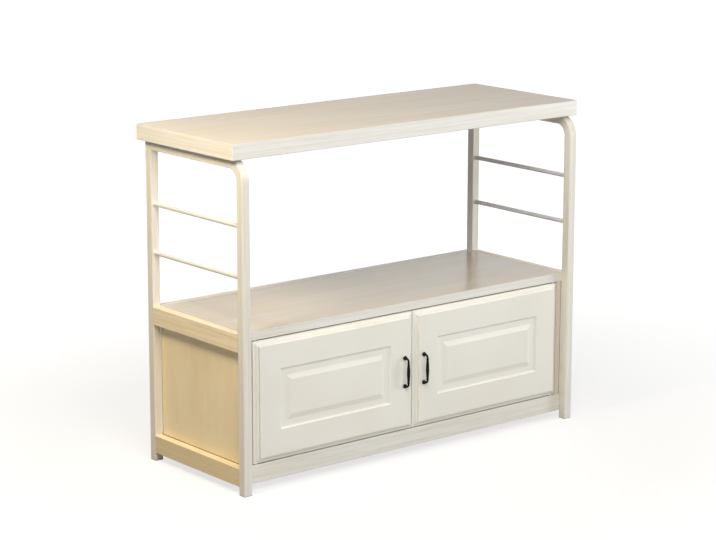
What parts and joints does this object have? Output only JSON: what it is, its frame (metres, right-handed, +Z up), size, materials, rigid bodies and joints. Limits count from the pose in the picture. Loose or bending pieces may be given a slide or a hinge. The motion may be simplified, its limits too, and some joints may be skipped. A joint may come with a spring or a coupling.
{
  "type": "microwave stand",
  "caption": "Microwave stand: thick top board on bent tube end frames with guard rods, open bay, and a low cupboard with hinged raised-panel doors and bow handles.",
  "frame": {"origin": "on the floor, under the centre of the bounding box", "axes": "+X to the right along the stand's length, +Y from the doors to the back, +Z up"},
  "size_m": [0.976, 0.3698, 0.75],
  "materials": {
    "frame_coat": "satin coating with a pale wood grain",
    "top_laminate": "satin pale oak laminate",
    "shelf_laminate": "glossy pale oak laminate",
    "door_satin": "satin cream foil",
    "panel_board": "matt beige laminate",
    "hardboard_back": "matt painted hardboard",
    "handle_metal": "antique black",
    "zinc_hardware": "zinc plated",
    "foot_plastic": "moulded",
    "bush_plastic": "moulded",
    "catch_plastic": "moulded",
    "magnet_ferrite": "sintered",
    "dowel_beech": "raw"
  },
  "bodies": {
    "stand": {"left_front_tube": "frame_coat", "left_rear_post": "frame_coat", "left_upper_side_rail": "frame_coat", "left_lower_side_rail": "frame_coat", "left_upper_rod": "frame_coat", "left_lower_rod": "frame_coat", "left_front_foot": "foot_plastic", "left_rear_foot": "foot_plastic", "left_side_panel": "panel_board", "left_lower_pivot": "zinc_hardware", "left_upper_pivot": "zinc_hardware", "left_catch": "catch_plastic", "left_catch_magnet": "magnet_ferrite", "right_front_tube": "frame_coat", "right_rear_post": "frame_coat", "right_upper_side_rail": "frame_coat", "right_lower_side_rail": "frame_coat", "right_upper_rod": "frame_coat", "right_lower_rod": "frame_coat", "right_front_foot": "foot_plastic", "right_rear_foot": "foot_plastic", "right_side_panel": "panel_board", "right_lower_pivot": "zinc_hardware", "right_upper_pivot": "zinc_hardware", "right_catch": "catch_plastic", "right_catch_magnet": "magnet_ferrite", "front_lower_rail": "frame_coat", "rear_lower_rail": "frame_coat", "rear_upper_rail": "frame_coat", "top_board": "top_laminate", "shelf_board": "shelf_laminate", "bottom_board": "panel_board", "centre_partition": "panel_board", "back_panel": "hardboard_back", "board_lugs": "frame_coat", "dowels": "dowel_beech", "top_board_screws": "zinc_hardware", "side_panel_screws": "zinc_hardware"},
    "left_door_leaf": {"left_door": "door_satin", "left_lower_bush": "bush_plastic", "left_upper_bush": "bush_plastic", "left_handle": "handle_metal", "left_handle_screws": "zinc_hardware", "left_strike_plate": "zinc_hardware"},
    "right_door_leaf": {"right_door": "door_satin", "right_lower_bush": "bush_plastic", "right_upper_bush": "bush_plastic", "right_handle": "handle_metal", "right_handle_screws": "zinc_hardware", "right_strike_plate": "zinc_hardware"}
  },
  "joints": [
    {"name": "left_door_hinge", "type": "hinge", "parent": "stand", "child": "left_door_leaf", "pos_m": [-0.4295, -0.15463, 0.194], "axis": [0, 0, -1], "range_deg": [0, 90]},
    {"name": "right_door_hinge", "type": "hinge", "parent": "stand", "child": "right_door_leaf", "pos_m": [0.4295, -0.15463, 0.194], "axis": [0, 0, 1], "range_deg": [0, 90]}
  ]
}
